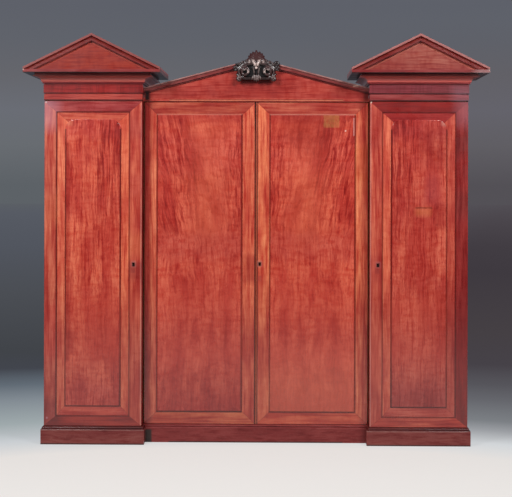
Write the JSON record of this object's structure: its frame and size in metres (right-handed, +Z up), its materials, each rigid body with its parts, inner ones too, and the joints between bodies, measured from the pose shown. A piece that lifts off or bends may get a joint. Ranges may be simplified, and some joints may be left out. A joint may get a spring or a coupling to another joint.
{
  "type": "press wardrobe",
  "caption": "Mahogany wardrobe with two projecting pedimented wings and a set-back centre with a pair of tall doors under a low pediment and carved crest.",
  "frame": {"origin": "middle of the bounding box on the floor", "axes": "+Z up, +X to the right of a person facing the doors, doors face -Y"},
  "size_m": [2.638, 0.71, 2.341],
  "materials": {
    "mahogany_case": "french polish",
    "mahogany_frame": "french polish",
    "mahogany_band": "french polish",
    "mahogany_field": "french polish",
    "mahogany_plinth": "french polish",
    "carved_mahogany": "french polish",
    "pine_lining": "waxed",
    "brass": "aged brass"
  },
  "bodies": {
    "case": {"left_plinth": "mahogany_plinth", "centre_plinth": "mahogany_plinth", "right_plinth": "mahogany_plinth", "left_outer_side": "mahogany_case", "left_inner_side": "mahogany_case", "right_inner_side": "mahogany_case", "right_outer_side": "mahogany_case", "centre_sides": "pine_lining", "case_floors": "pine_lining", "case_tops": "pine_lining", "case_backs": "pine_lining", "hat_shelves": "pine_lining", "hanging_rails": "brass", "rail_sockets": "brass", "left_entablature": "mahogany_case", "right_entablature": "mahogany_case", "left_cornice": "mahogany_case", "right_cornice": "mahogany_case", "left_tympanum": "mahogany_case", "right_tympanum": "mahogany_case", "left_rake_mouldings": "mahogany_case", "right_rake_mouldings": "mahogany_case", "centre_cornice_board": "mahogany_case", "centre_pediment": "mahogany_case", "centre_rake_mouldings": "mahogany_case", "crest": "carved_mahogany", "pivot_plates": "brass", "drawer_dividers": "pine_lining", "tray_runners": "pine_lining"},
    "left_wing_door": {"left_wing_door_frame": "mahogany_frame", "left_wing_door_fittings": "brass", "left_wing_door_band": "mahogany_band", "left_wing_door_field": "mahogany_field"},
    "left_centre_door": {"left_centre_door_frame": "mahogany_frame", "left_centre_door_fittings": "brass", "left_centre_door_panel": "mahogany_field"},
    "left_wing_bolt": {"left_wing_door_bolt": "brass"},
    "right_wing_door": {"right_wing_door_frame": "mahogany_frame", "right_wing_door_fittings": "brass", "right_wing_door_band": "mahogany_band", "right_wing_door_field": "mahogany_field"},
    "right_centre_door": {"right_centre_door_frame": "mahogany_frame", "right_centre_door_fittings": "brass", "right_centre_door_panel": "mahogany_field", "right_centre_door_bead": "mahogany_frame"},
    "right_wing_bolt": {"right_wing_door_bolt": "brass"},
    "centre_lock_bolt": {"right_centre_door_bolt": "brass"},
    "top_bolt": {"left_centre_door_top_bolt": "brass"},
    "bottom_bolt": {"left_centre_door_bottom_bolt": "brass"},
    "long_drawer_1_body": {"long_drawer_1": "pine_lining"},
    "long_drawer_2_body": {"long_drawer_2": "pine_lining"},
    "long_drawer_3_body": {"long_drawer_3": "pine_lining"},
    "left_short_drawer_body": {"left_short_drawer": "pine_lining"},
    "right_short_drawer_body": {"right_short_drawer": "pine_lining"},
    "linen_tray_1_body": {"linen_tray_1": "pine_lining"},
    "linen_tray_2_body": {"linen_tray_2": "pine_lining"},
    "linen_tray_3_body": {"linen_tray_3": "pine_lining"},
    "linen_tray_4_body": {"linen_tray_4": "pine_lining"}
  },
  "joints": [
    {"name": "left_wing_door_swing", "type": "hinge", "parent": "case", "child": "left_wing_door", "pos_m": [-1.1965, -0.2325, 0.106], "axis": [0, 0, -1], "range_deg": [0, 90]},
    {"name": "left_centre_door_swing", "type": "hinge", "parent": "case", "child": "left_centre_door", "pos_m": [-0.6315, -0.1275, 0.106], "axis": [0, 0, -1], "range_deg": [0, 90]},
    {"name": "left_wing_bolt_throw", "type": "slide", "parent": "left_wing_door", "child": "left_wing_bolt", "axis": [1, 0, 0], "range_m": [0, 0.01]},
    {"name": "right_wing_door_swing", "type": "hinge", "parent": "case", "child": "right_wing_door", "pos_m": [1.1965, -0.2325, 0.106], "axis": [0, 0, 1], "range_deg": [0, 90]},
    {"name": "right_centre_door_swing", "type": "hinge", "parent": "case", "child": "right_centre_door", "pos_m": [0.6315, -0.1275, 0.106], "axis": [0, 0, 1], "range_deg": [0, 90]},
    {"name": "right_wing_bolt_throw", "type": "slide", "parent": "right_wing_door", "child": "right_wing_bolt", "axis": [-1, 0, 0], "range_m": [0, 0.01]},
    {"name": "centre_lock_bolt_throw", "type": "slide", "parent": "right_centre_door", "child": "centre_lock_bolt", "axis": [-1, 0, 0], "range_m": [0, 0.01]},
    {"name": "top_bolt_throw", "type": "slide", "parent": "left_centre_door", "child": "top_bolt", "axis": [0, 0, 1], "range_m": [0, 0.014]},
    {"name": "bottom_bolt_throw", "type": "slide", "parent": "left_centre_door", "child": "bottom_bolt", "axis": [0, 0, -1], "range_m": [0, 0.014]},
    {"name": "long_drawer_1_slide", "type": "slide", "parent": "case", "child": "long_drawer_1_body", "axis": [0, -1, 0], "range_m": [0, 0.08]},
    {"name": "long_drawer_2_slide", "type": "slide", "parent": "case", "child": "long_drawer_2_body", "axis": [0, -1, 0], "range_m": [0, 0.08]},
    {"name": "long_drawer_3_slide", "type": "slide", "parent": "case", "child": "long_drawer_3_body", "axis": [0, -1, 0], "range_m": [0, 0.08]},
    {"name": "left_short_drawer_slide", "type": "slide", "parent": "case", "child": "left_short_drawer_body", "axis": [0, -1, 0], "range_m": [0, 0.08]},
    {"name": "right_short_drawer_slide", "type": "slide", "parent": "case", "child": "right_short_drawer_body", "axis": [0, -1, 0], "range_m": [0, 0.08]},
    {"name": "linen_tray_1_slide", "type": "slide", "parent": "case", "child": "linen_tray_1_body", "axis": [0, -1, 0], "range_m": [0, 0.08]},
    {"name": "linen_tray_2_slide", "type": "slide", "parent": "case", "child": "linen_tray_2_body", "axis": [0, -1, 0], "range_m": [0, 0.08]},
    {"name": "linen_tray_3_slide", "type": "slide", "parent": "case", "child": "linen_tray_3_body", "axis": [0, -1, 0], "range_m": [0, 0.08]},
    {"name": "linen_tray_4_slide", "type": "slide", "parent": "case", "child": "linen_tray_4_body", "axis": [0, -1, 0], "range_m": [0, 0.08]}
  ]
}
